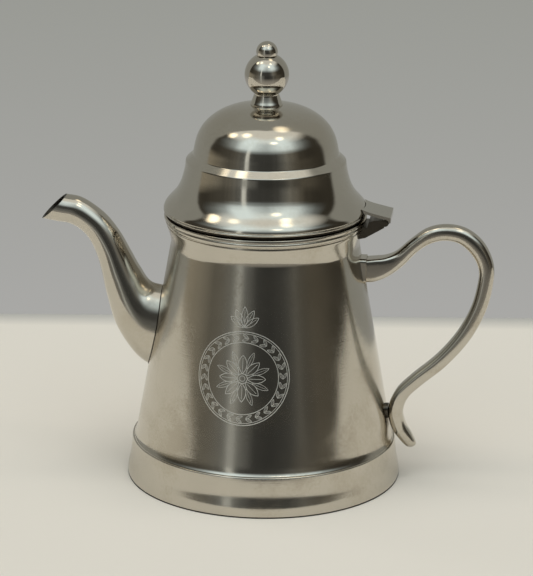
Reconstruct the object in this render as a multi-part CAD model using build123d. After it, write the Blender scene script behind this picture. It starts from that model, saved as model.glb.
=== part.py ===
from build123d import *
import math
import os

# Hinged-lid teapot of thin plated sheet. Millimetres, +Z up, origin at the centre of the foot.
# +X points at the handle, -X at the spout, Y is across the pot.

WALL = 1.1                 # sheet of the pot body
LID_WALL = 1.0             # sheet of the lid
CONE_LOW_R, CONE_LOW_Z = 53.5, 17.0
CONE_TOP_R, CONE_TOP_Z = 39.02, 98.6
SHELL_LOW_Z = 1.5          # lower edge of the pot sheet, inside the foot band
SHELL_TOP_Z = 110.2        # upper edge of the pot sheet, under the rim bead
NECK_R, NECK_Z = 38.8, 100.3
MOUTH_R = 41.3             # outside of the flared mouth
RIM_TOP_Z = 112.0
RIM_R = 41.6
FOOT_R = 57.0
FOOT_TOP_R, FOOT_TOP_Z = 54.95, 16.7
FOOT_INNER_R = 54.9        # inside edge of the hem that stands on the table
BASE_LOW_Z, BASE_TOP_Z = 3.2, 4.4
SEAT_GAP = 0.3             # lid seat above the rim bead when closed
LID_EDGE_Z = 113.3         # lower edge of the lid's rim wire
LID_SHEET_Z = 114.3        # lower edge of the lid sheet
LID_R = 41.55
CROWN_Z = 157.6            # flat at the top of the lid, under the finial
CROWN_R = 6.6
BEZEL_R = 38.9             # outside of the flange that drops into the mouth
BEZEL_LOW_Z = 107.5
WAIST_Z = 162.6            # joint between the finial's foot and its ball
BALL_R, BALL_Z = 9.06, 169.9
BEAD_R, BEAD_Z = 4.4, 179.3
STUD_R = 2.0
PIN_X, PIN_Z = 49.6, 111.5
PIN_R = 0.65
PIN_RUN = 0.05             # radial running clearance of the lid knuckle on the pin
EAR_R = 1.5
RIVET_R = 1.0              # heads of the pin
KNUCKLE_R = 1.8
KNUCKLE_HALF = 3.9         # half length of the lid knuckle
EAR_IN, EAR_OUT = 4.1, 7.0
LEAF_HALF = 8.0            # half width of the hinge leaf
LEAF_END_X, LEAF_END_Z = 51.9, 114.0
STRAINER_HOLE_R = 1.6


def cone_r(z):
    """Outside radius of the tapered wall at height z."""
    slope = (CONE_TOP_R - CONE_LOW_R) / (CONE_TOP_Z - CONE_LOW_Z)
    return CONE_LOW_R + slope * (z - CONE_LOW_Z)


def moved_in(points, distance):
    """Points of an open outline moved to its inner side by distance."""
    result = []
    for i, (r, z) in enumerate(points):
        before = points[max(i - 1, 0)]
        after = points[min(i + 1, len(points) - 1)]
        dr = after[0] - before[0]
        dz = after[1] - before[1]
        length = math.hypot(dr, dz)
        result.append((r - dz / length * distance, z + dr / length * distance))
    return result


def ring(points):
    """Solid of revolution about Z from a closed outline of straight lines (radius, height)."""
    face = make_face(Plane.XZ * Polyline(*points, close=True))
    return revolve(face, Axis.Z)


def outline_ring(edges):
    """Solid of revolution about Z from a closed outline of mixed edges (radius, height)."""
    face = make_face(Plane.XZ * Wire(edges))
    return revolve(face, Axis.Z)


# Neck and mouth: the wall draws in to the neck, then flares to the mouth.
NECK = [
    (CONE_TOP_R, CONE_TOP_Z), (NECK_R, NECK_Z), (38.95, 102.2), (39.45, 104.4),
    (40.35, 107.0), (41.0, 108.8), (MOUTH_R, SHELL_TOP_Z),
]
INNER_NECK = moved_in(NECK, WALL)
INNER_NECK[-1] = (MOUTH_R - WALL, SHELL_TOP_Z)
INNER_LOW_R = INNER_NECK[0][0] + cone_r(SHELL_LOW_Z) - CONE_TOP_R


def pot_volume(low_r, neck):
    """Volume inside a straight taper from low_r and the neck line above it."""
    return outline_ring([
        Line((0, SHELL_LOW_Z), (low_r, SHELL_LOW_Z)),
        Line((low_r, SHELL_LOW_Z), neck[0]),
        Spline(*neck, tangents=[(-0.1746, 0.9846), (0.12, 1.0)]),
        Line(neck[-1], (0, SHELL_TOP_Z)),
        Line((0, SHELL_TOP_Z), (0, SHELL_LOW_Z)),
    ])


# Spout: pairs of (top point, bottom point, width across Y) from the body to the mouth.
SPOUT = [
    ((-36.8, 78.6), (-44.8, 43.0), 24.0),
    ((-47.3, 79.9), (-53.4, 48.6), 23.0),
    ((-52.3, 86.4), (-61.7, 60.6), 20.5),
    ((-56.2, 93.4), (-66.1, 74.6), 17.2),
    ((-60.2, 100.6), (-69.2, 88.4), 14.2),
    ((-65.4, 107.5), (-73.0, 97.6), 12.4),
    ((-71.1, 112.3), (-77.4, 102.3), 11.6),
    ((-77.0, 115.6), (-82.0, 104.5), 11.4),
    ((-83.0, 116.6), (-87.0, 105.1), 11.0),
    ((-89.3, 117.4), (-93.8, 106.3), 10.4),
]
LIP_X, LIP_Z = -92.9, 106.4    # tip of the lower lip, where the 45 degree cut of the mouth ends
SPOUT_WALL = 1.1


def spout_loft(shrink):
    """Smooth tube through the spout's sections, each made smaller by shrink all round."""
    sections = []
    for (tx, tz), (bx, bz), width in SPOUT:
        up = Vector(tx - bx, 0, tz - bz)
        centre = Vector((tx + bx) / 2, 0, (tz + bz) / 2)
        plane = Plane(origin=centre, x_dir=up, z_dir=Vector(0, 1, 0).cross(up))
        sections.append(plane * Ellipse(up.length / 2 - shrink, width / 2 - shrink))
    return loft(sections)


# Handle: (outer point, inner point, width across Y, corner share) along the bow.
HANDLE = [
    ((42.0, 94.6), (42.0, 84.9), 8.6, 0.30),
    ((45.4, 95.0), (45.4, 85.2), 8.4, 0.32),
    ((49.8, 95.8), (50.6, 87.3), 8.0, 0.45),
    ((54.2, 98.1), (56.8, 91.8), 7.4, 0.80),
    ((59.7, 103.2), (63.0, 98.4), 7.2, 0.86),
    ((66.4, 108.2), (68.6, 102.1), 7.2, 0.90),
    ((74.2, 110.1), (74.4, 103.4), 7.2, 0.90),
    ((82.4, 108.7), (80.2, 102.0), 7.2, 0.90),
    ((89.4, 103.4), (85.2, 97.3), 7.2, 0.90),
    ((93.7, 95.0), (87.7, 92.0), 7.0, 0.88),
    ((94.1, 86.6), (87.7, 86.2), 7.0, 0.80),
    ((91.5, 74.2), (85.3, 75.8), 7.0, 0.65),
    ((85.3, 61.4), (79.9, 64.6), 7.2, 0.55),
    ((76.0, 49.9), (71.6, 54.0), 7.4, 0.50),
    ((66.2, 41.2), (61.1, 44.4), 7.6, 0.45),
    ((60.5, 35.3), (54.8, 37.4), 7.8, 0.45),
    ((58.4, 29.0), (52.1, 29.4), 8.0, 0.45),
    ((59.6, 23.4), (53.6, 22.0), 7.8, 0.50),
    ((62.4, 18.4), (56.8, 17.0), 7.2, 0.60),
    ((64.0, 15.0), (59.6, 13.9), 5.6, 0.80),
    ((63.5, 13.7), (61.0, 13.1), 2.8, 0.85),
]


def handle_loft():
    """Cast bow through rounded-rectangle sections."""
    sections = []
    for (ox, oz), (ix, iz), width, share in HANDLE:
        across = Vector(ox - ix, 0, oz - iz)
        centre = Vector((ox + ix) / 2, 0, (oz + iz) / 2)
        plane = Plane(origin=centre, x_dir=across, z_dir=Vector(0, 1, 0).cross(across))
        corner = share * min(across.length, width) / 2
        sections.append(plane * RectangleRounded(across.length, width, corner))
    return loft(sections)


# Lid outline: flare and lower tier, a sloped shoulder, then the dome up to the flat of the crown.
LID_SKIRT = [
    (LID_R, LID_SHEET_Z), (41.6, 115.4), (40.55, 117.5), (38.3, 119.7), (36.75, 121.8),
    (35.5, 124.0), (34.4, 126.6), (33.6, 129.2), (33.1, 131.4), (32.85, 133.0),
]
LID_DOME = [
    (32.2, 134.1), (30.9, 136.6), (29.75, 139.4), (28.9, 142.3), (28.05, 145.2), (26.6, 148.3),
    (23.9, 151.3), (20.0, 154.0), (15.3, 155.9), (10.8, 157.0), (CROWN_R, CROWN_Z),
]


def lid_volume(distance, low_z):
    """Volume inside the lid outline moved in by distance."""
    skirt = moved_in(LID_SKIRT, distance)
    dome = moved_in(LID_DOME, distance)
    skirt[0] = (LID_R - distance, low_z)
    top_z = CROWN_Z - distance
    dome[-1] = (CROWN_R, top_z)
    edges = [
        Line((0, low_z), skirt[0]),
        Spline(*skirt, tangents=[(0.1, 1.0), (-0.1, 1.0)]),
        Line(skirt[-1], dome[0]),
        Spline(*dome, tangents=[(-0.5, 1.0), (-1.0, 0.06)]),
        Line(dome[-1], (0, top_z)),
        Line((0, top_z), (0, low_z)),
    ]
    return outline_ring(edges)


def across_y(shape, half_width):
    """Outline drawn in the XZ plane, made half_width deep to both sides."""
    return extrude(Plane.XZ * shape, half_width, both=True)


def rod_y(x, z, radius, y_low, y_high):
    """Cylinder along Y."""
    plane = Plane(origin=(x, y_low, z), x_dir=(1, 0, 0), z_dir=(0, 1, 0))
    return extrude(plane * Circle(radius), y_high - y_low)


def on_knuckle(degrees):
    """Point on the knuckle's outside at an angle above +X."""
    return (PIN_X + KNUCKLE_R * math.cos(math.radians(degrees)),
            PIN_Z + KNUCKLE_R * math.sin(math.radians(degrees)))


parts = {}
outside = pot_volume(cone_r(SHELL_LOW_Z), NECK)
cavity = pot_volume(INNER_LOW_R, INNER_NECK)

# Pot wall, pierced with a round field of strainer holes behind the spout.
wall = outside - cavity
holes = []
for row, count in enumerate((3, 4, 5, 4, 3)):
    for i in range(count):
        y = (i - (count - 1) / 2) * 4.6
        z = 54.0 + row * 4.2
        plane = Plane(origin=(-60, y, z), x_dir=(0, 1, 0), z_dir=(1, 0, 0))
        holes.append(extrude(plane * Circle(STRAINER_HOLE_R), 30))
parts["body_shell"] = wall - holes

# Rim bead: half-round wire on the edge of the mouth.
parts["rim_bead"] = outline_ring([
    Line((MOUTH_R - WALL, SHELL_TOP_Z), (MOUTH_R - 0.1, SHELL_TOP_Z)),
    ThreePointArc((MOUTH_R - 0.1, SHELL_TOP_Z), (RIM_R, 111.1), (MOUTH_R - 0.2, RIM_TOP_Z)),
    Line((MOUTH_R - 0.2, RIM_TOP_Z), (MOUTH_R - WALL, RIM_TOP_Z)),
    Line((MOUTH_R - WALL, RIM_TOP_Z), (MOUTH_R - WALL, SHELL_TOP_Z)),
])

# Foot band: tapered strip round the bottom, hemmed under the pot wall.
parts["foot_band"] = outline_ring([
    Line((FOOT_INNER_R, 0), (56.3, 0)),
    ThreePointArc((56.3, 0), (56.8, 0.25), (FOOT_R, 0.9)),
    Line((FOOT_R, 0.9), (FOOT_TOP_R, 15.9)),
    ThreePointArc((FOOT_TOP_R, 15.9), (54.7, 16.5), (54.2, FOOT_TOP_Z)),
    Line((54.2, FOOT_TOP_Z), (cone_r(FOOT_TOP_Z), FOOT_TOP_Z)),
    Line((cone_r(FOOT_TOP_Z), FOOT_TOP_Z), (cone_r(SHELL_LOW_Z), SHELL_LOW_Z)),
    Line((cone_r(SHELL_LOW_Z), SHELL_LOW_Z), (FOOT_INNER_R, SHELL_LOW_Z)),
    Line((FOOT_INNER_R, SHELL_LOW_Z), (FOOT_INNER_R, 0)),
])

# Base plate: disc let into the wall above the hem.
inner_slope = (INNER_NECK[0][0] - INNER_LOW_R) / (INNER_NECK[0][1] - SHELL_LOW_Z)
parts["base_plate"] = ring([
    (0, BASE_LOW_Z),
    (INNER_LOW_R + inner_slope * (BASE_LOW_Z - SHELL_LOW_Z), BASE_LOW_Z),
    (INNER_LOW_R + inner_slope * (BASE_TOP_Z - SHELL_LOW_Z), BASE_TOP_Z),
    (0, BASE_TOP_Z),
])

# Spout: tapering S-curved tube, trimmed to the wall and cut at 45 degrees at the lip.
lip_cut = across_y(make_face(Polyline(
    (LIP_X - 3, LIP_Z - 3), (LIP_X + 14, LIP_Z + 14), (-130, LIP_Z + 14), (-130, LIP_Z - 3),
    close=True)), 40)
parts["spout"] = spout_loft(0) - spout_loft(SPOUT_WALL) - lip_cut - outside

# Handle with its upper socket plate and its lower pad.
handle = handle_loft()
parts["handle"] = handle
socket_plane = Plane(origin=(36.0, 0, 89.75), x_dir=(0, 0, 1), z_dir=(1, 0, 0))
socket = extrude(socket_plane * RectangleRounded(10.5, 9.3, 1.5), 6.0)
parts["handle_socket"] = socket - outside
pad_plane = Plane(origin=(48.0, 0, 28.6), x_dir=(0, 0, 1), z_dir=(1, 0, 0))
pad = extrude(pad_plane * RectangleRounded(6.4, 5.4, 2.6), 6.5)
parts["handle_pad"] = pad - outside - handle

# Hinge bracket: block from under the rim out to two ears that hold the pin.
block = across_y(make_face(Polyline(
    (37.0, 103.9), (41.6, 104.9), (50.0, 109.9), (49.2, 112.5), (48.4, 112.7), (44.8, 112.3),
    (42.8, 111.2), (42.4, 109.3), (37.0, 109.3), close=True)), EAR_OUT)
ears = rod_y(PIN_X, PIN_Z, EAR_R, -EAR_OUT, EAR_OUT)
end_space = across_y(make_face(Polyline(
    (PIN_X, PIN_Z), (PIN_X - 0.9, PIN_Z - 5), (PIN_X + 6, PIN_Z - 5), (PIN_X + 6, PIN_Z + 6),
    (PIN_X - 0.3, PIN_Z + 6), close=True)), EAR_OUT)
near_pin = rod_y(PIN_X, PIN_Z, KNUCKLE_R + 0.35, -EAR_IN, EAR_IN)
bracket = block - end_space + ears - near_pin
bracket = bracket - rod_y(PIN_X, PIN_Z, PIN_R, -EAR_OUT, EAR_OUT)
parts["hinge_bracket"] = bracket - outside

# Hinge pin: riveted over a little at both ends.
pin = rod_y(PIN_X, PIN_Z, PIN_R, -EAR_OUT, EAR_OUT)
pin = pin + rod_y(PIN_X, PIN_Z, RIVET_R, -EAR_OUT - 0.4, -EAR_OUT)
parts["hinge_pin"] = pin + rod_y(PIN_X, PIN_Z, RIVET_R, EAR_OUT, EAR_OUT + 0.4)

# Lid sheet, with a hole in the crown for the finial's stud.
lid_outside = lid_volume(0, LID_SHEET_Z)
stud_hole = Pos(0, 0, 150) * Cylinder(STUD_R + 0.1, 20)
parts["lid_dome"] = lid_outside - lid_volume(LID_WALL, LID_SHEET_Z) - stud_hole

# Rim wire under the lid's edge, and the seat ring whose flange drops into the mouth.
parts["lid_rim_wire"] = outline_ring([
    Line((39.4, LID_EDGE_Z), (41.4, LID_EDGE_Z)),
    ThreePointArc((41.4, LID_EDGE_Z), (41.9, 113.8), (41.5, LID_SHEET_Z)),
    Line((41.5, LID_SHEET_Z), (39.4, LID_SHEET_Z)),
    Line((39.4, LID_SHEET_Z), (39.4, LID_EDGE_Z)),
])
seat_z = RIM_TOP_Z + SEAT_GAP
parts["lid_bezel"] = ring([
    (BEZEL_R - 1.0, BEZEL_LOW_Z), (BEZEL_R, BEZEL_LOW_Z), (BEZEL_R, seat_z), (40.7, seat_z),
    (40.7, LID_EDGE_Z), (BEZEL_R - 1.0, LID_EDGE_Z),
])

# Hinge leaf: plate from the lid's flare out over the knuckle, its end turned down.
leaf_edges = [
    Spline((39.4, 117.5), (42.6, 116.2), (45.8, 115.35), (LEAF_END_X, LEAF_END_Z),
           tangents=[(1.0, -0.45), (1.0, -0.20)]),
    Line((LEAF_END_X, LEAF_END_Z), (LEAF_END_X, on_knuckle(12)[1])),
    Line((LEAF_END_X, on_knuckle(12)[1]), on_knuckle(12)),
    ThreePointArc(on_knuckle(12), on_knuckle(55), on_knuckle(98)),
    Spline(on_knuckle(98), (45.8, 114.2), (42.4, 115.05), (39.4, 116.3),
           tangents=[(-1.0, 0.12), (-1.0, 0.45)]),
    Line((39.4, 116.3), (39.4, 117.5)),
]
leaf = across_y(make_face(Wire(leaf_edges)), LEAF_HALF)
parts["hinge_leaf"] = leaf - lid_outside

# Lid knuckle: tube on the pin between the two ears.
knuckle = rod_y(PIN_X, PIN_Z, KNUCKLE_R, -KNUCKLE_HALF, KNUCKLE_HALF)
parts["lid_knuckle"] = knuckle - rod_y(PIN_X, PIN_Z, PIN_R + PIN_RUN, -KNUCKLE_HALF, KNUCKLE_HALF)

# Finial: waisted foot, ball with its small bead, stud, washer and nut under the crown.
parts["finial_foot"] = outline_ring([
    Line((STUD_R, CROWN_Z), (CROWN_R, CROWN_Z)),
    Spline((CROWN_R, CROWN_Z), (6.1, 159.4), (5.35, 161.0), (5.15, WAIST_Z),
           tangents=[(0.1, 1.0), (0.1, 1.0)]),
    Line((5.15, WAIST_Z), (STUD_R, WAIST_Z)),
    Line((STUD_R, WAIST_Z), (STUD_R, CROWN_Z)),
])
ball = Pos(0, 0, BALL_Z) * Sphere(BALL_R)
ball = ball + Pos(0, 0, BEAD_Z) * Sphere(BEAD_R)
ball = ball - Pos(0, 0, WAIST_Z - 5) * Cylinder(12, 10)
parts["finial_ball"] = ball - Pos(0, 0, 164) * Cylinder(STUD_R, 8)
inner_crown_z = CROWN_Z - LID_WALL
washer = Cylinder(6.0, 1.0) - Cylinder(STUD_R + 0.1, 1.0)
parts["finial_washer"] = Pos(0, 0, inner_crown_z - 0.5) * washer
nut = extrude(RegularPolygon(4.0, 6, major_radius=True), 3.2)
nut = nut - Pos(0, 0, 1.6) * Cylinder(STUD_R, 3.2)
parts["finial_nut"] = Pos(0, 0, inner_crown_z - 1.0 - 3.2) * nut
from_base = (Align.CENTER, Align.CENTER, Align.MIN)
parts["finial_stud"] = Pos(0, 0, 151.6) * Cylinder(STUD_R, 16.4, align=from_base)

os.makedirs("parts", exist_ok=True)
for name, shape in parts.items():
    export_step(shape, "parts/" + name + ".step")
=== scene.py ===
"""Looks of the hinged-lid teapot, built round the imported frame.

Lengths are millimetres unless a name or comment says metres.
"""
import math

import bmesh
import bpy
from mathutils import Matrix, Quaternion, Vector


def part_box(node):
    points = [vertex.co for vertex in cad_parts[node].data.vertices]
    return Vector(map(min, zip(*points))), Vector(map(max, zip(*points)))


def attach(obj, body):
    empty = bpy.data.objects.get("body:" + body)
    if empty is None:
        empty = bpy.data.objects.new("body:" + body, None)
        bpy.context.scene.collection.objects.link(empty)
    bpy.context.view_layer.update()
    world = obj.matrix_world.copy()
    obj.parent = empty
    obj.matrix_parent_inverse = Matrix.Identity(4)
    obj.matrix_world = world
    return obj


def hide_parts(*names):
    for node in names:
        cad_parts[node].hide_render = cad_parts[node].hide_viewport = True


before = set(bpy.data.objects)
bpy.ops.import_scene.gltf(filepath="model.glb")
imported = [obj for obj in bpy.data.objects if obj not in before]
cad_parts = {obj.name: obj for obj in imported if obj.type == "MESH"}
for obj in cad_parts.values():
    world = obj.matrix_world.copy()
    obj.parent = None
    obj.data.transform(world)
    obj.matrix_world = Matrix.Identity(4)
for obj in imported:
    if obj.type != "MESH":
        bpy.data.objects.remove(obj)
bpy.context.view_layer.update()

MM = 0.001
TURNS = 256                      # steps round a turned piece
LINE_STEPS = 5                   # steps between two points of a smooth outline


def box_mm(node):
    """Lowest and highest corner of a CAD node, in millimetres."""
    low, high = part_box(node)
    return [v / MM for v in low], [v / MM for v in high]


# Corners of the CAD pieces, read from the frame.
SHELL_LOW, SHELL_HIGH = box_mm("body_shell")
BAND_HIGH = box_mm("foot_band")[1]
BEAD_LOW, BEAD_HIGH = box_mm("rim_bead")
WIRE_LOW, WIRE_HIGH = box_mm("lid_rim_wire")
DOME_LOW, DOME_HIGH = box_mm("lid_dome")
BEZEL_LOW, BEZEL_HIGH = box_mm("lid_bezel")
BALL_HIGH = box_mm("finial_ball")[1]
WAIST_LOW, WAIST_HIGH = box_mm("finial_foot")

# Sizes the boxes don't give.
WALL = 1.1                       # sheet of the pot and the spout
LID_WALL = 1.0
MOUTH_R = 41.3
FOOT_INNER_R, FOOT_TOP_R = 54.9, 54.95
STUD_R = 2.0
CROWN_HOLE_R = 2.1
SEAT_Z = 112.3                   # underside of the lid's seat ring
CONE_TOP_R, CONE_TOP_Z = 39.02, 98.6
CONE_SLOPE = (CONE_TOP_R - SHELL_HIGH[0]) / (CONE_TOP_Z - SHELL_LOW[2])


def cone_r(z):
    """Outside radius of the tapered wall at height z."""
    return CONE_TOP_R + CONE_SLOPE * (z - CONE_TOP_Z)


# ---------------------------------------------------------------- curves and meshes

def smooth_line(points, steps):
    """Points on a Catmull-Rom curve through the given tuples."""
    out = []
    last = len(points) - 1
    for i in range(last):
        p0 = points[max(i - 1, 0)]
        p1 = points[i]
        p2 = points[i + 1]
        p3 = points[min(i + 2, last)]
        for k in range(steps):
            t = k / steps
            out.append(tuple(
                0.5 * (2 * b + (c - a) * t + (2 * a - 5 * b + 4 * c - d) * t ** 2
                       + (3 * b - a - 3 * c + d) * t ** 3)
                for a, b, c, d in zip(p0, p1, p2, p3)))
    out.append(tuple(points[last]))
    return out


def rounded(corners, steps=5):
    """Outline from (r, z, radius) corners, each corner rounded to about its radius."""
    out = []
    count = len(corners)
    for i, (r, z, radius) in enumerate(corners):
        here = Vector((r, z))
        if radius == 0 or i in (0, count - 1):
            out.append((r, z))
            continue
        before = Vector(corners[i - 1][:2]) - here
        after = Vector(corners[i + 1][:2]) - here
        reach = min(radius, before.length * 0.49, after.length * 0.49)
        start = here + before.normalized() * reach
        end = here + after.normalized() * reach
        for k in range(steps + 1):
            t = k / steps
            point = start.lerp(here, t).lerp(here.lerp(end, t), t)
            out.append((point.x, point.y))
    return out


def finish_mesh(name, bm, material, body, nodes=()):
    """Turns a bmesh in millimetres into a smooth piece that rides on a body."""
    bmesh.ops.recalc_face_normals(bm, faces=bm.faces)
    for face in bm.faces:
        face.smooth = True
    for vert in bm.verts:
        vert.co *= MM
    mesh = bpy.data.meshes.new(name)
    bm.to_mesh(mesh)
    bm.free()
    piece = bpy.data.objects.new(name, mesh)
    bpy.context.scene.collection.objects.link(piece)
    mesh.materials.append(material)
    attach(piece, body)
    if nodes:
        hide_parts(*nodes)


def lathe(name, outline, material, body, nodes=()):
    """Turned piece: closed outline of (radius, height) swept round Z. A radius of 0 becomes a pole."""
    bm = bmesh.new()
    rings = []
    for r, z in outline:
        if r < 1e-6:
            rings.append([bm.verts.new((0, 0, z))])
        else:
            rings.append([bm.verts.new((r * math.cos(a), r * math.sin(a), z))
                          for a in (2 * math.pi * k / TURNS for k in range(TURNS))])
    for low, high in zip(rings, rings[1:] + rings[:1]):
        for k in range(TURNS):
            n = (k + 1) % TURNS
            if len(low) == 1 and len(high) == 1:
                continue
            if len(low) == 1:
                bm.faces.new((low[0], high[n], high[k]))
            elif len(high) == 1:
                bm.faces.new((low[k], low[n], high[0]))
            else:
                bm.faces.new((low[k], low[n], high[n], high[k]))
    finish_mesh(name, bm, material, body, nodes)


def section_points(a, b, power, count):
    """Closed superellipse with half sizes a and b. Power 2 is an ellipse, higher is squarer."""
    points = []
    for k in range(count):
        t = 2 * math.pi * k / count
        c, s = math.cos(t), math.sin(t)
        points.append((a * math.copysign(abs(c) ** (2 / power), c),
                       b * math.copysign(abs(s) ** (2 / power), s)))
    return points


def bow_rings(stations, steps, count, shrink=0.0):
    """Rings of points along stations of (x1, z1, x2, z2, width, power)."""
    rings = []
    for x1, z1, x2, z2, width, power in smooth_line(stations, steps):
        across = Vector((x1 - x2, 0, z1 - z2))
        centre = Vector(((x1 + x2) / 2, 0, (z1 + z2) / 2))
        direction = across.normalized()
        half = across.length / 2 - shrink
        ring = []
        for u, v in section_points(half, width / 2 - shrink, power, count):
            ring.append(centre + direction * u + Vector((0, v, 0)))
        rings.append(ring)
    return rings


def skin(bm, rings, cap_start=False, cap_end=False):
    """Joins rings of points into a tube."""
    made = [[bm.verts.new(p) for p in ring] for ring in rings]
    count = len(made[0])
    for low, high in zip(made, made[1:]):
        for k in range(count):
            n = (k + 1) % count
            bm.faces.new((low[k], low[n], high[n], high[k]))
    if cap_start:
        bm.faces.new(made[0])
    if cap_end:
        bm.faces.new(made[-1])


# ---------------------------------------------------------------- materials

class Nodes:
    """Short way to build a node tree."""

    def __init__(self, tree):
        self.tree = tree

    def add(self, kind, **values):
        node = self.tree.nodes.new(kind)
        for key, value in values.items():
            if key.startswith("in_"):
                node.inputs[int(key[3:])].default_value = value
            else:
                setattr(node, key, value)
        return node

    def link(self, source, target):
        self.tree.links.new(source, target)

    def math(self, operation, first, second=None, clamp=False):
        node = self.add("ShaderNodeMath", operation=operation, use_clamp=clamp)
        for index, value in enumerate((first, second)):
            if value is None:
                continue
            if isinstance(value, (int, float)):
                node.inputs[index].default_value = value
            else:
                self.link(value, node.inputs[index])
        return node.outputs[0]

    def ramp(self, source, stops):
        node = self.add("ShaderNodeValToRGB")
        band = node.color_ramp
        while len(band.elements) < len(stops):
            band.elements.new(0.5)
        for element, (place, value) in zip(band.elements, stops):
            element.position = place
            element.color = (value, value, value, 1) if isinstance(value, (int, float)) else (*value, 1)
        self.link(source, node.inputs[0])
        return node.outputs[0]

    def mix(self, factor, first, second):
        node = self.add("ShaderNodeMix", data_type="RGBA")
        for index, value in ((0, factor), (6, first), (7, second)):
            if isinstance(value, (int, float)):
                node.inputs[index].default_value = value
            elif isinstance(value, tuple):
                node.inputs[index].default_value = (*value, 1)
            else:
                self.link(value, node.inputs[index])
        return node.outputs[2]

    def noise(self, vector, scale, detail=3.0, rough=0.55):
        node = self.add("ShaderNodeTexNoise")
        node.inputs["Scale"].default_value = scale
        node.inputs["Detail"].default_value = detail
        node.inputs["Roughness"].default_value = rough
        self.link(vector, node.inputs["Vector"])
        return node.outputs["Fac"]


def turned_space(nodes, position, around, along):
    """Vector on a cylinder: the direction from the axis times around, the height times along."""
    split = nodes.add("ShaderNodeSeparateXYZ")
    nodes.link(position, split.inputs[0])
    x, y, z = split.outputs
    angle = nodes.math("ARCTAN2", y, x)
    joined = nodes.add("ShaderNodeCombineXYZ")
    nodes.link(nodes.math("MULTIPLY", nodes.math("COSINE", angle), around), joined.inputs[0])
    nodes.link(nodes.math("MULTIPLY", nodes.math("SINE", angle), around), joined.inputs[1])
    nodes.link(nodes.math("MULTIPLY", z, along), joined.inputs[2])
    return joined.outputs[0]


def plate(name, tint, rough, spread=0.05, turned=False, brush=0.0, anisotropic=0.0, stain=0.25,
          stain_tint=(0.30, 0.24, 0.15), stain_near=None, scratch=0.5):
    """Silver plate: cloudy tint, fine marks, tarnish and worn scratches, all from object coordinates.

    stain_near lists (x, y, z, reach) balls, in millimetres, where tarnish gathers.
    """
    material = bpy.data.materials.new(name)
    material.use_nodes = True
    tree = material.node_tree
    nodes = Nodes(tree)
    shader = tree.nodes["Principled BSDF"]
    shader.inputs["Metallic"].default_value = 1.0
    shader.inputs["Anisotropic"].default_value = anisotropic
    position = nodes.add("ShaderNodeTexCoord").outputs["Object"]

    cloud = nodes.noise(position, 38.0, 4.0)
    fine = nodes.noise(position, 260.0, 3.0)
    speck = nodes.noise(position, 900.0, 2.0, 0.7)

    stain_mask = nodes.ramp(nodes.math("ADD", cloud, nodes.math("MULTIPLY", speck, 0.25)),
                            [(0.62, 0.0), (0.80, stain)])
    for x, y, z, reach in stain_near or ():
        distance = nodes.add("ShaderNodeVectorMath", operation="DISTANCE")
        nodes.link(position, distance.inputs[0])
        distance.inputs[1].default_value = (x * MM, y * MM, z * MM)
        wobble = nodes.math("ADD", distance.outputs["Value"], nodes.math("MULTIPLY", cloud, reach * MM))
        near = nodes.ramp(nodes.math("DIVIDE", wobble, 2 * reach * MM), [(0.30, 0.85), (0.72, 0.0)])
        stain_mask = nodes.math("MAXIMUM", stain_mask, near)

    dark = tuple(v * 0.90 for v in tint)
    colour = nodes.mix(nodes.ramp(cloud, [(0.35, 0.0), (0.70, 1.0)]), dark, tint)
    colour = nodes.mix(stain_mask, colour, stain_tint)
    nodes.link(colour, shader.inputs["Base Color"])

    lines = fine
    if turned:
        lines = nodes.noise(turned_space(nodes, position, 1.2, 2600.0), 1.0, 3.0, 0.7)
    wide = nodes.math("MULTIPLY", nodes.math("SUBTRACT", cloud, 0.5), spread * 1.5)
    narrow = nodes.math("MULTIPLY", nodes.math("SUBTRACT", lines, 0.5), spread * 1.2)
    roughness = nodes.math("ADD", nodes.math("ADD", wide, narrow), rough)
    roughness = nodes.math("ADD", roughness, nodes.math("MULTIPLY", stain_mask, 0.25), clamp=True)
    nodes.link(roughness, shader.inputs["Roughness"])

    # Fine scratches: thin ridges of a stretched noise, few and short.
    mapping = nodes.add("ShaderNodeMapping")
    mapping.inputs["Rotation"].default_value = (0.5, 0.3, 0.9)
    mapping.inputs["Scale"].default_value = (1.0, 14.0, 3.0)
    nodes.link(position, mapping.inputs["Vector"])
    streak = nodes.noise(mapping.outputs[0], 90.0, 1.0)
    ridge = nodes.ramp(streak, [(0.492, 0.0), (0.5, 1.0), (0.508, 0.0)])
    patch = nodes.ramp(nodes.noise(position, 120.0, 1.0), [(0.52, 0.0), (0.60, 1.0)])
    marks = nodes.math("MULTIPLY", nodes.math("MULTIPLY", ridge, patch), scratch)

    height = nodes.math("ADD", nodes.math("MULTIPLY", lines, brush), nodes.math("MULTIPLY", marks, -0.6))
    height = nodes.math("ADD", height, nodes.math("MULTIPLY", fine, 0.25 * brush + 0.05))
    bump = nodes.add("ShaderNodeBump")
    bump.inputs["Strength"].default_value = 0.35
    bump.inputs["Distance"].default_value = 0.00002
    nodes.link(height, bump.inputs["Height"])
    nodes.link(bump.outputs[0], shader.inputs["Normal"])
    if anisotropic:
        tangent = nodes.add("ShaderNodeTangent", direction_type="RADIAL", axis="Z")
        nodes.link(tangent.outputs[0], shader.inputs["Tangent"])
    return material


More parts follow.
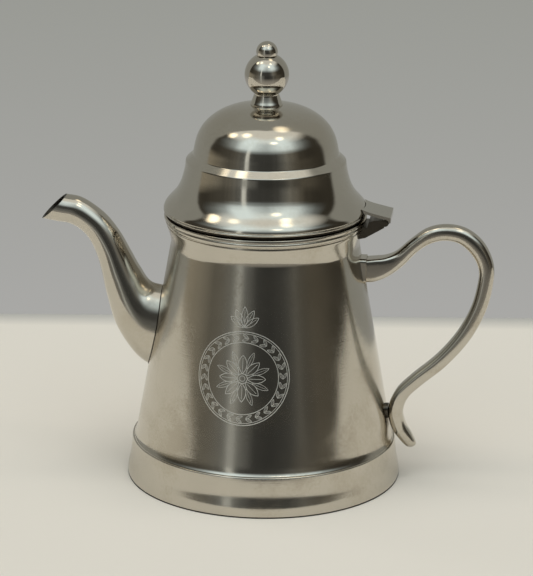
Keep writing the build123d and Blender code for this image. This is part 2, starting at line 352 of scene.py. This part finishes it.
SILVER = (0.64, 0.60, 0.525)
body_metal = plate("body_plate", SILVER, 0.12, 0.05, turned=True, brush=0.9, anisotropic=0.8, stain=0.30,
                   stain_near=[(-44, 0, 82, 9), (41, 0, 84, 6), (51, 0, 25, 6)])
band_metal = plate("foot_plate", SILVER, 0.12, 0.05, turned=True, brush=0.6, anisotropic=0.35, stain=0.30)
lid_metal = plate("lid_plate", SILVER, 0.09, 0.04, turned=True, brush=0.7, anisotropic=0.35, stain=0.20)
bright_metal = plate("bright_plate", SILVER, 0.10, 0.04, stain=0.22, scratch=0.8,
                     stain_near=[(-45, 0, 80, 8), (-90, 0, 106, 3)])
handle_metal = plate("handle_plate", SILVER, 0.12, 0.05, stain=0.40, scratch=0.8,
                     stain_near=[(42, 0, 86, 6), (53, 0, 30, 5), (60, 0, 15, 4)])
finial_metal = plate("finial_plate", SILVER, 0.06, 0.03, stain=0.15, scratch=0.4)
# Near-black: tarnish plus painted shade, for the hinge parts under the lid's leaf and for the handle pad.
tarnish_and_shade_metal = plate("tarnished_plate", (0.11, 0.098, 0.08), 0.30, 0.12, stain=0.8,
                   stain_tint=(0.04, 0.032, 0.024))
# Near-black: dark solder at the spout's seam, and painted shade on the foot's contact ring, the lid's seat
# and the spout's inside.
solder_and_shade_metal = plate("solder_and_shade_plate", (0.055, 0.048, 0.039), 0.45, 0.10, stain=0.5,
                    stain_tint=(0.02, 0.016, 0.012))
leaf_metal = plate("leaf_plate", (0.62, 0.59, 0.52), 0.16, 0.08, stain=0.5, stain_tint=(0.16, 0.13, 0.09))
inside_metal = plate("inside_plate", (0.55, 0.52, 0.45), 0.32, 0.10, turned=True, brush=0.6, stain=0.6,
                     stain_tint=(0.20, 0.14, 0.08))
brass_metal = plate("brass", (0.62, 0.50, 0.26), 0.28, 0.10, stain=0.5, stain_tint=(0.22, 0.16, 0.07))
frosted = plate("engraved_frost", (0.95, 0.93, 0.88), 0.55, 0.10, stain=0.05, scratch=0.2)


# ---------------------------------------------------------------- turned pieces

# Pot wall: taper, drawn-in neck and a line under the rim. The inside follows WALL further in.
# FILLET is the solder over the foot band, as (height, distance out from the taper).
FILLET = [(15.0, 0.0), (16.6, 0.9), (17.0, 0.58), (17.6, 0.33), (18.4, 0.15), (19.6, 0.04), (21.0, 0.0)]
NECK_LINE = [(CONE_TOP_R, CONE_TOP_Z), (38.80, 100.3), (38.95, 102.2), (39.45, 104.4), (40.35, 107.0)]
RIM_LINE = [(40.62, 107.8), (40.45, 108.05), (40.48, 108.4), (40.95, 108.65), (41.1, 109.3),
            (MOUTH_R, SHELL_HIGH[2])]
outer_line = [(cone_r(SHELL_LOW[2]), SHELL_LOW[2])]
outer_line += [(cone_r(z) + out, z) for z, out in FILLET]
outer_line += [(cone_r(z), z) for z in (30, 45, 60, 75, 88, 96)]
outer_line += smooth_line(NECK_LINE, LINE_STEPS) + RIM_LINE
fillet_top = FILLET[-1][0]
inner_line = [(min(r, cone_r(z)) - WALL if z <= fillet_top else r - WALL, z) for r, z in reversed(outer_line)]
lathe("pot_wall", outer_line + inner_line, body_metal, "pot", ["body_shell"])

# Foot band: tapered strip, a little fuller low down, its top edge rolled in.
foot_r, foot_top = BAND_HIGH[0], BAND_HIGH[2]
lathe("foot_ring", rounded([
    (FOOT_INNER_R, SHELL_LOW[2], 0), (FOOT_INNER_R, 0.0, 0.3), (foot_r - 0.4, 0.0, 0.4), (foot_r, 0.8, 0.7),
    (foot_r - 0.22, 3.6, 1.6), (foot_r - 1.4, 8.8, 1.8), (FOOT_TOP_R, foot_top - 0.1, 1.0),
    (cone_r(foot_top) + 0.3, foot_top, 0.3), (cone_r(foot_top), foot_top - 0.25, 0.1),
    (cone_r(SHELL_LOW[2]), SHELL_LOW[2], 0)]),
    band_metal, "pot", ["foot_band"])

# Painted contact shadow: a dark ring in the angle where the foot stands on the table.
lathe("foot_contact_shade", [(55.2, 0.02), (foot_r - 0.15, 0.02), (foot_r - 0.02, 0.3), (foot_r - 0.15, 0.62),
                     (55.2, 0.62)], solder_and_shade_metal, "pot")

# Rim bead: half-round wire on the edge of the mouth.
lathe("rim_wire", rounded([
    (MOUTH_R - WALL, BEAD_LOW[2], 0), (41.2, BEAD_LOW[2], 0.1), (41.25, BEAD_LOW[2] + 0.2, 0.1),
    (41.62, BEAD_LOW[2] + 0.45, 0.5), (41.6, BEAD_HIGH[2] - 0.2, 0.5), (41.0, BEAD_HIGH[2], 0.4),
    (MOUTH_R - WALL, BEAD_HIGH[2], 0.3), (MOUTH_R - WALL, BEAD_LOW[2], 0)]),
    band_metal, "pot", ["rim_bead"])

# Lid: flared skirt and lower tier, a sloped shoulder, and the dome.
SKIRT_LINE = [(41.8, 114.75), (41.25, 116.1), (40.1, 117.6), (37.9, 120.0), (36.5, 121.9), (35.5, 123.7),
              (34.85, 125.2), (34.3, 126.8), (33.65, 129.2), (33.15, 131.6), (32.8, 134.2)]
DOME_LINE = [(29.85, 137.7), (29.5, 139.4), (29.0, 141.8), (28.3, 144.2), (27.35, 146.3), (25.8, 148.8),
             (23.2, 151.5), (19.6, 154.0), (15.3, 155.9), (10.8, 157.0), (6.6, DOME_HIGH[2])]
SHOULDER = rounded([(32.8, 134.2, 0), (32.68, 134.75, 0.45), (29.93, 137.2, 0.35), (29.85, 137.7, 0)], 4)
lid_outer = [(41.55, DOME_LOW[2])] + smooth_line(SKIRT_LINE, LINE_STEPS) + SHOULDER[1:-1]
lid_outer += smooth_line(DOME_LINE, LINE_STEPS) + [(CROWN_HOLE_R, DOME_HIGH[2])]


def inset(line, distance):
    """Open outline moved towards the axis side by distance."""
    out = []
    for i, (r, z) in enumerate(line):
        a = line[max(i - 1, 0)]
        b = line[min(i + 1, len(line) - 1)]
        run = Vector((b[0] - a[0], b[1] - a[1])).normalized()
        out.append((r - run.y * distance, z + run.x * distance))
    return out


lid_inner = [(max(r, CROWN_HOLE_R), z) for r, z in reversed(inset(lid_outer, LID_WALL))]
lathe("lid_cover", lid_outer + lid_inner, lid_metal, "lid", ["lid_dome"])

# Wire at the lid's lower edge, and the seat ring whose flange drops into the mouth, coloured dark as painted
# shade in the gap under the rim.
lathe("lid_edge_wire", rounded([
    (39.4, WIRE_LOW[2], 0), (41.5, WIRE_LOW[2], 0.35), (WIRE_HIGH[0], WIRE_LOW[2] + 0.5, 0.4),
    (41.5, WIRE_HIGH[2], 0.2), (39.4, WIRE_HIGH[2], 0)]),
    lid_metal, "lid", ["lid_rim_wire"])

lathe("lid_seat", rounded([
    (37.9, BEZEL_LOW[2], 0), (38.9, BEZEL_LOW[2], 0.3), (38.9, SEAT_Z, 0.3), (BEZEL_HIGH[0], SEAT_Z, 0.3),
    (BEZEL_HIGH[0], BEZEL_HIGH[2], 0.2), (37.9, BEZEL_HIGH[2], 0)]),
    solder_and_shade_metal, "lid", ["lid_bezel"])

# Finial: waisted neck, ball, groove and small bead.
neck_low, neck_high = WAIST_LOW[2], WAIST_HIGH[2]
NECK_SIDE = [(6.6, neck_low), (6.5, neck_low + 0.7), (6.0, 159.4), (5.45, 160.9), (5.15, 161.9),
             (5.25, neck_high)]
lathe("finial_neck", smooth_line(NECK_SIDE, 6) + [(STUD_R, neck_high), (STUD_R, neck_low)],
      finial_metal, "lid", ["finial_foot"])

ball_r = BALL_HIGH[0]
bead_r = 4.4
bead_z = BALL_HIGH[2] - bead_r
ball_z = bead_z - 9.4
stud_top = 168.0


def arc_line(radius, centre_z, start, end, steps):
    """Part of a circle centred on the axis, from start to end in degrees above the equator."""
    return [(radius * math.cos(math.radians(start + (end - start) * k / steps)),
             centre_z + radius * math.sin(math.radians(start + (end - start) * k / steps)))
            for k in range(steps + 1)]


low_angle = math.degrees(math.asin((neck_high - ball_z) / ball_r))
lathe("finial_knob",
      [(STUD_R, stud_top), (STUD_R, neck_high)] + arc_line(ball_r, ball_z, low_angle, 60, 40)
      + [(3.85, 177.65), (3.75, 177.8), (3.85, 177.95)]
      + arc_line(bead_r, bead_z, -26, 90, 30) + [(0, stud_top)],
      finial_metal, "lid", ["finial_ball"])


# ---------------------------------------------------------------- spout and handle

# Spout stations: top edge x, z, bottom edge x, z, width across Y, squareness.
SPOUT_LINE = [
    (-36.8, 78.6, -44.8, 43.0, 24.0, 2.0), (-47.3, 79.9, -53.4, 48.6, 23.0, 2.0),
    (-52.3, 86.4, -61.7, 60.6, 20.5, 2.0), (-56.2, 93.4, -66.1, 74.6, 17.2, 2.0),
    (-60.2, 100.6, -69.2, 88.4, 14.2, 2.0), (-65.4, 107.5, -73.0, 97.6, 12.4, 2.0),
    (-71.1, 112.3, -77.4, 102.3, 11.6, 2.0), (-77.0, 115.6, -82.0, 104.5, 11.4, 2.0),
    (-83.0, 116.6, -87.0, 105.1, 11.0, 2.0), (-89.3, 117.4, -93.8, 106.3, 10.4, 2.0)]
SPOUT_SIDES = 72
SPOUT_STEPS = 10
LIP_POINT = Vector((-92.9, 0, 106.4))
LIP_NORMAL = Vector((-1, -0.13, 1)).normalized()     # the cut is turned a little to one side


def cut_by_plane(bm, point, normal):
    """Removes what lies beyond a plane and leaves the opening bare."""
    everything = bm.verts[:] + bm.edges[:] + bm.faces[:]
    bmesh.ops.bisect_plane(bm, geom=everything, plane_co=point, plane_no=normal, clear_outer=True)


def spout_tube(shrink):
    """Spout tube cut off at the lip, without what would be inside the pot wall."""
    bm = bmesh.new()
    skin(bm, bow_rings(SPOUT_LINE, SPOUT_STEPS, SPOUT_SIDES, shrink))
    cut_by_plane(bm, LIP_POINT, LIP_NORMAL)
    hidden = [v for v in bm.verts if math.hypot(v.co.x, v.co.y) < cone_r(v.co.z) - 1.05]
    bmesh.ops.delete(bm, geom=hidden, context="VERTS")
    return bm


finish_mesh("spout_outside", spout_tube(0.0), bright_metal, "pot", ["spout"])

# Inside of the spout and the cut edge of its sheet, both coloured dark as painted shade in the opening. A
# skin just inside the outer one carries the cut edge out to the lip.
bm = spout_tube(WALL)
outer = spout_tube(0.06)
outer_mesh = bpy.data.meshes.new("outer")
outer.to_mesh(outer_mesh)
outer.free()
bm.from_mesh(outer_mesh)
bpy.data.meshes.remove(outer_mesh)
lip_edges = [e for e in bm.edges if e.is_boundary and all(v.co.x < -75 for v in e.verts)]
bmesh.ops.bridge_loops(bm, edges=lip_edges)
finish_mesh("spout_inside", bm, solder_and_shade_metal, "pot")


def wall_crossing(column):
    """Where a line of points running out along the spout leaves the pot wall."""
    for a, b in zip(column, column[1:]):
        depth_a = math.hypot(a.x, a.y) - cone_r(a.z)
        depth_b = math.hypot(b.x, b.y) - cone_r(b.z)
        if depth_a < 0 <= depth_b:
            return a.lerp(b, depth_a / (depth_a - depth_b))
    return column[0]


def bead_along(name, loop, radius, material, body):
    """Thin round bead along a closed loop of points that lies across X."""
    bm = bmesh.new()
    rings = []
    count = len(loop)
    for i, point in enumerate(loop):
        run = (loop[(i + 1) % count] - loop[i - 1]).normalized()
        side = run.cross(Vector((-1, 0, 0.2))).normalized()
        up = run.cross(side)
        rings.append([point + (side * math.cos(a) + up * math.sin(a)) * radius
                      for a in (2 * math.pi * k / 8 for k in range(8))])
    skin(bm, rings + rings[:1])
    bmesh.ops.remove_doubles(bm, verts=bm.verts, dist=1e-5)
    finish_mesh(name, bm, material, body)


# Dark line of solder where the spout meets the wall.
spout_rings = bow_rings(SPOUT_LINE, SPOUT_STEPS, SPOUT_SIDES)
seam = [wall_crossing([ring[k] for ring in spout_rings]) for k in range(SPOUT_SIDES)]
bead_along("spout_seam", seam, 0.28, solder_and_shade_metal, "pot")

# Handle stations: outer x, z, inner x, z, width across Y, squareness.
HANDLE_LINE = [
    (42.0, 94.6, 42.0, 84.9, 8.6, 6.0), (45.4, 95.0, 45.4, 85.2, 8.4, 6.0),
    (49.8, 95.8, 50.6, 87.3, 8.0, 4.5), (54.2, 98.1, 56.8, 91.8, 7.4, 2.8),
    (59.7, 103.2, 63.0, 98.4, 7.2, 2.5), (66.4, 108.2, 68.6, 102.1, 7.2, 2.4),
    (74.2, 110.1, 74.4, 103.4, 7.2, 2.4), (82.4, 108.7, 80.2, 102.0, 7.2, 2.4),
    (89.4, 103.4, 85.2, 97.3, 7.2, 2.4), (93.7, 95.0, 87.7, 92.0, 7.0, 2.5),
    (94.1, 86.6, 87.7, 86.2, 7.0, 2.6), (91.5, 74.2, 85.3, 75.8, 7.0, 2.8),
    (85.3, 61.4, 79.9, 64.6, 7.2, 3.0), (76.0, 49.9, 71.6, 54.0, 7.4, 3.2),
    (66.2, 41.2, 61.1, 44.4, 7.6, 3.4), (60.5, 35.3, 54.8, 37.4, 7.8, 3.4),
    (58.4, 29.0, 52.1, 29.4, 8.0, 3.2), (59.6, 23.4, 53.6, 22.0, 7.8, 3.0),
    (62.4, 18.4, 56.8, 17.0, 7.2, 2.8), (64.0, 15.0, 59.6, 13.9, 5.6, 2.4),
    (63.5, 13.7, 61.0, 13.1, 2.8, 2.2)]
bm = bmesh.new()
skin(bm, bow_rings(HANDLE_LINE, 8, 64), cap_start=True, cap_end=True)
finish_mesh("handle_bow", bm, handle_metal, "pot", ["handle"])


# ---------------------------------------------------------------- engraved ornament

# A plain wreath of leaves round a rosette, drawn flat as (u across, v up) and wrapped on the taper.
ORNAMENT_ANGLE = math.radians(-94.3)
ORNAMENT_Z = 55.8
ORNAMENT_LIFT = 0.045            # height of the drawing over the wall
WREATH_R, WREATH_PAIRS = 16.4, 26
PETALS = 8


def on_wall(u, v):
    """Point on the pot wall for a point of the flat drawing."""
    z = ORNAMENT_Z + 0.985 * v
    angle = ORNAMENT_ANGLE + u / cone_r(z)
    r = cone_r(z) + ORNAMENT_LIFT
    return Vector((r * math.cos(angle), r * math.sin(angle), z))


def stroke(bm, line, width, closed=False):
    """Flat ribbon of a given width along a line of the drawing."""
    half = width / 2
    count = len(line)
    pairs = []
    for i, (u, v) in enumerate(line):
        before = line[i - 1] if closed or i > 0 else line[0]
        after = line[(i + 1) % count] if closed or i < count - 1 else line[-1]
        run = Vector((after[0] - before[0], after[1] - before[1])).normalized()
        pairs.append((bm.verts.new(on_wall(u - run.y * half, v + run.x * half)),
                      bm.verts.new(on_wall(u + run.y * half, v - run.x * half))))
    if closed:
        pairs.append(pairs[0])
    for (a, b), (c, d) in zip(pairs, pairs[1:]):
        bm.faces.new((a, b, d, c))


def ring_line(radius, count=120):
    """Circle of the drawing."""
    return [(radius * math.cos(2 * math.pi * k / count), radius * math.sin(2 * math.pi * k / count))
            for k in range(count)]


def leaf(bm, foot, heading, length, breadth, width):
    """Outline of a pointed leaf with a midrib, from its foot along a heading in radians."""
    c, s = math.cos(heading), math.sin(heading)

    def place(t, w):
        """Point a share t along the leaf and w to its side."""
        return foot[0] + c * t * length - s * w, foot[1] + s * t * length + c * w

    for side in (breadth / 2, -breadth / 2):
        stroke(bm, [place(k / 8, side * math.sin(math.pi * k / 8) ** 0.8) for k in range(9)], width)
    stroke(bm, [place(t, 0.0) for t in (0.1, 0.5, 0.85)], width * 0.7)


bm = bmesh.new()
for radius, width in ((19.0, 0.32), (18.2, 0.20), (14.6, 0.28)):
    stroke(bm, ring_line(radius), width, closed=True)
for turn in (2 * math.pi * k / WREATH_PAIRS for k in range(WREATH_PAIRS)):
    foot = (WREATH_R * math.cos(turn), WREATH_R * math.sin(turn))
    for lean in (0.5, -0.5):
        leaf(bm, foot, turn + math.pi / 2 + lean, 2.9, 1.0, 0.18)
for turn in (2 * math.pi * k / PETALS for k in range(PETALS)):
    leaf(bm, (2.0 * math.cos(turn), 2.0 * math.sin(turn)), turn, 7.5, 3.4, 0.24)
    turn += math.pi / PETALS
    leaf(bm, (4.5 * math.cos(turn), 4.5 * math.sin(turn)), turn, 7.0, 2.0, 0.18)
stroke(bm, ring_line(2.0, 32), 0.26, closed=True)
stroke(bm, ring_line(1.1, 24), 0.20, closed=True)
for heading, length in ((90, 8.5), (62, 8.0), (118, 8.0), (36, 7.0), (144, 7.0)):
    leaf(bm, (0.0, 20.6), math.radians(heading), length, 2.6, 0.22)
finish_mesh("ornament", bm, frosted, "pot")


# ---------------------------------------------------------------- parts kept from CAD

for node, material in {
        "base_plate": inside_metal, "handle_socket": handle_metal, "handle_pad": tarnish_and_shade_metal,
        "hinge_bracket": tarnish_and_shade_metal, "hinge_pin": tarnish_and_shade_metal, "hinge_leaf": leaf_metal,
        "lid_knuckle": tarnish_and_shade_metal, "finial_washer": brass_metal, "finial_nut": brass_metal,
        "finial_stud": brass_metal}.items():
    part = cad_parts[node]
    part.data.materials.clear()
    part.data.materials.append(material)


# ---------------------------------------------------------------- stage, light and camera

def flat_colour(name, make_colour):
    """Matt stage material. make_colour(nodes, position) gives its colour socket."""
    material = bpy.data.materials.new(name)
    material.use_nodes = True
    nodes = Nodes(material.node_tree)
    shader = material.node_tree.nodes["Principled BSDF"]
    shader.inputs["Roughness"].default_value = 0.7
    shader.inputs["Specular IOR Level"].default_value = 0.15
    position = nodes.add("ShaderNodeTexCoord").outputs["Object"]
    nodes.link(make_colour(nodes, position), shader.inputs["Base Color"])
    return material


# Lengths are in metres from here on.
YAW = math.radians(6.56)         # the camera's bearing, from straight in front towards the handle
TABLE_FAR = 0.202                # middle of the far edge's fade, behind the pot's axis
TABLE_NEAR = -0.20
TABLE_HALF = 0.9
TABLE_FADE = 0.02                # soft far edge, as cloth hanging over it
TABLE_PAST = 0.008               # table beyond the middle of the fade


def table_colour(nodes, position):
    """Pale cloth, turning to the wall's grey over the far edge."""
    split = nodes.add("ShaderNodeSeparateXYZ")
    nodes.link(position, split.inputs[0])
    past = nodes.math("SUBTRACT", split.outputs[1], TABLE_FAR - TABLE_FADE / 2)
    far = nodes.ramp(nodes.math("DIVIDE", past, TABLE_FADE), [(0.0, 0.0), (1.0, 1.0)])
    cloud = nodes.noise(position, 6.0, 2.0)
    cloth = nodes.mix(cloud, (0.755, 0.72, 0.665), (0.795, 0.755, 0.70))
    return nodes.mix(far, cloth, (0.42, 0.42, 0.41))


bm = bmesh.new()
table_end = TABLE_FAR + TABLE_PAST
bm.faces.new([bm.verts.new(v) for v in ((-TABLE_HALF, TABLE_NEAR, 0), (TABLE_HALF, TABLE_NEAR, 0),
                                        (TABLE_HALF, table_end, 0), (-TABLE_HALF, table_end, 0))])
floor_mesh = bpy.data.meshes.new("table_top")
bm.to_mesh(floor_mesh)
bm.free()
floor = bpy.data.objects.new("table_top", floor_mesh)
floor.rotation_euler[2] = YAW
bpy.context.scene.collection.objects.link(floor)
floor_mesh.materials.append(flat_colour("table_cloth", table_colour))

# The room: a pale wall behind the pot, a dim room on the camera's side, lit windows above eye height,
# a ceiling and a few lamps.
world = bpy.data.worlds.new("room")
bpy.context.scene.world = world
world.use_nodes = True
nodes = Nodes(world.node_tree)
direction = nodes.add("ShaderNodeTexCoord").outputs["Generated"]
split = nodes.add("ShaderNodeSeparateXYZ")
nodes.link(direction, split.inputs[0])
bearing = nodes.math("ARCTAN2", split.outputs[0], nodes.math("MULTIPLY", split.outputs[1], -1.0))
around = nodes.math("ADD", nodes.math("DIVIDE", bearing, 2 * math.pi), 0.5)
lift = nodes.math("ADD", nodes.math("DIVIDE", nodes.math("ARCSINE", split.outputs[2]), math.pi), 0.5)


def by_bearing(stops):
    """Brightness by bearing in degrees from straight in front of the pot, left negative."""
    return nodes.ramp(around, [((a + 180) / 360, v) for a, v in stops])


def by_height(stops):
    """Brightness by degrees above the horizon."""
    return nodes.ramp(lift, [((a + 90) / 180, v) for a, v in stops])


def tinted(level, tint):
    """Grey level given a tint."""
    node = nodes.add("ShaderNodeMix", data_type="RGBA", blend_type="MULTIPLY")
    node.inputs[0].default_value = 1.0
    nodes.link(level, node.inputs[6])
    node.inputs[7].default_value = (*tint, 1)
    return node.outputs[2]


def lamp_spot(bearing_deg, height_deg, radius_deg, strength):
    """Small soft round light in the room, as a share that adds to the room's brightness."""
    a, h = math.radians(bearing_deg), math.radians(height_deg)
    node = nodes.add("ShaderNodeVectorMath", operation="DOT_PRODUCT")
    nodes.link(direction, node.inputs[0])
    node.inputs[1].default_value = (math.sin(a) * math.cos(h), -math.cos(a) * math.cos(h), math.sin(h))
    rim = math.cos(math.radians(radius_deg))
    share = nodes.math("DIVIDE", nodes.math("SUBTRACT", node.outputs["Value"], rim), 1 - rim, clamp=True)
    return nodes.math("MULTIPLY", share, strength)


WINDOW = (1.05, 1.22, 1.28)
CEILING = (0.86, 0.86, 0.80)
# The room's brightness just over the table and at eye height, streaked by bearing.
table_level = by_bearing([
    (-98, 0.28), (-78, 0.25), (-65, 0.20), (-53, 0.13), (-41, 0.16), (-29, 0.19), (-26, 0.46), (-21, 0.46),
    (-18, 0.19), (-10, 0.14), (-3, 0.05), (12, 0.042), (30, 0.06), (42, 0.13), (48, 0.085), (62, 0.10),
    (78, 0.075), (90, 0.05), (103, 0.04)])
eye_level = by_bearing([
    (-98, 0.05), (-83, 0.045), (-68, 0.065), (-50, 0.085), (-38, 0.13), (-28, 0.13), (-25.5, 0.85),
    (-22, 0.85), (-19.5, 0.09), (-8, 0.06), (12, 0.055), (24, 0.075), (38, 0.20), (52, 0.13), (62, 0.06),
    (78, 0.04), (98, 0.04)])
streaks = nodes.add("ShaderNodeCombineXYZ")
nodes.link(bearing, streaks.inputs[0])
streaks = nodes.noise(streaks.outputs[0], 26.0, 5.0, 0.7)
streaks = nodes.math("ADD", nodes.math("MULTIPLY", streaks, 1.9), 0.05)
levels = nodes.mix(by_height([(1, 0.0), (9, 1.0)]), table_level, eye_level)
levels = nodes.math("MULTIPLY", levels, streaks)
# Browner towards the sides, and paler below the horizon, where the floor shows.
brown = by_bearing([(-98, 1.0), (-45, 0.6), (-28, 0.0), (30, 0.1), (60, 0.9), (98, 1.0)])
dim_room = nodes.mix(brown, tinted(levels, (0.97, 1.0, 0.95)), tinted(levels, (1.10, 0.99, 0.76)))
far_floor = by_height([(-34, 0.9), (-22, 0.6), (-8, 0.0)])
dim_room = nodes.mix(far_floor, dim_room, (0.40, 0.38, 0.34))
# Windows and ceiling.
window_share = by_bearing([
    (-92, 0.0), (-70, 0.18), (-54, 0.42), (-42, 0.95), (-22, 1.0), (-8, 0.72), (7, 0.55), (22, 0.80),
    (37, 1.0), (54, 0.88), (68, 0.42), (82, 0.15), (98, 0.0)])
window_band = by_height([(21, 0.0), (28, 0.34), (34, 0.78), (42, 1.0), (60, 1.0), (70, 0.0)])
ceiling_band = by_height([(44, 0.0), (58, 1.0)])
front = nodes.mix(ceiling_band, dim_room, CEILING)
front = nodes.mix(nodes.math("MULTIPLY", window_share, window_band), front, WINDOW)
# The wall behind, darker with height.
wall = nodes.mix(by_height([(-17.7, 0.0), (-11, 1.0)]), (0.395, 0.392, 0.378), (0.318, 0.322, 0.296))
front_share = by_bearing([(-98, 0.0), (-94, 1.0), (108, 1.0), (114, 0.0)])
room = nodes.mix(front_share, wall, front)
# Lamps.
spots = nodes.math("ADD", lamp_spot(-84, 52, 7, 2.6), lamp_spot(-62, 66, 7, 2.2))
for place in ((24, 52, 6, 2.0), (48, 65, 6, 2.0), (122, 74, 9, 1.6)):
    spots = nodes.math("ADD", spots, lamp_spot(*place))
warm_spots = tinted(spots, (1.0, 0.86, 0.62))
total = nodes.add("ShaderNodeMix", data_type="RGBA", blend_type="ADD")
total.inputs[0].default_value = 1.0
nodes.link(room, total.inputs[6])
nodes.link(warm_spots, total.inputs[7])
background = world.node_tree.nodes["Background"]
nodes.link(total.outputs[2], background.inputs["Color"])


def panel(name, place, target, size, power, colour):
    """Soft rectangular light aimed at a point, for the matt surfaces only."""
    lamp = bpy.data.lights.new(name, "AREA")
    lamp.shape = "RECTANGLE"
    lamp.size, lamp.size_y = size
    lamp.energy = power
    lamp.color = colour
    holder = bpy.data.objects.new(name, lamp)
    bpy.context.scene.collection.objects.link(holder)
    holder.location = place
    aim = Vector(target) - Vector(place)
    holder.rotation_euler = aim.to_track_quat("-Z", "Y").to_euler()
    holder.visible_glossy = False


panel("ceiling", (0.0, -0.1, 1.6), (0, 0, 0), (1.2, 0.9), 9.5, (1.0, 0.97, 0.92))
panel("lamp_left", (-0.95, 0.35, 0.42), (0, 0, 0.02), (0.12, 0.12), 0.5, (1.0, 0.93, 0.80))
panel("lamp_right", (1.0, -0.05, 0.45), (0, 0, 0.02), (0.15, 0.15), 0.4, (1.0, 0.95, 0.85))

# The camera stands to the handle's side of straight in front and looks down on the pot.
EYE_DISTANCE, EYE_HEIGHT = 1.1, 0.4215
LOOK_ASIDE, LOOK_HEIGHT = 0.00062, 0.07966
ROLL = math.radians(0.5)
camera_data = bpy.data.cameras.new("camera")
camera = bpy.data.objects.new("camera", camera_data)
bpy.context.scene.collection.objects.link(camera)
bpy.context.scene.camera = camera
camera_data.sensor_width = 36
camera_data.lens = 174.1
camera_data.clip_end = 20
aside = Vector((math.cos(YAW), math.sin(YAW), 0))
camera.location = Vector((math.sin(YAW), -math.cos(YAW), 0)) * EYE_DISTANCE + Vector((0, 0, EYE_HEIGHT))
camera.location += aside * LOOK_ASIDE
look = aside * LOOK_ASIDE + Vector((0, 0, LOOK_HEIGHT)) - camera.location
camera.rotation_mode = "QUATERNION"
camera.rotation_quaternion = look.to_track_quat("-Z", "Y") @ Quaternion((0, 0, 1), ROLL)

scene = bpy.context.scene
scene.view_settings.view_transform = "Standard"
scene.view_settings.look = "None"
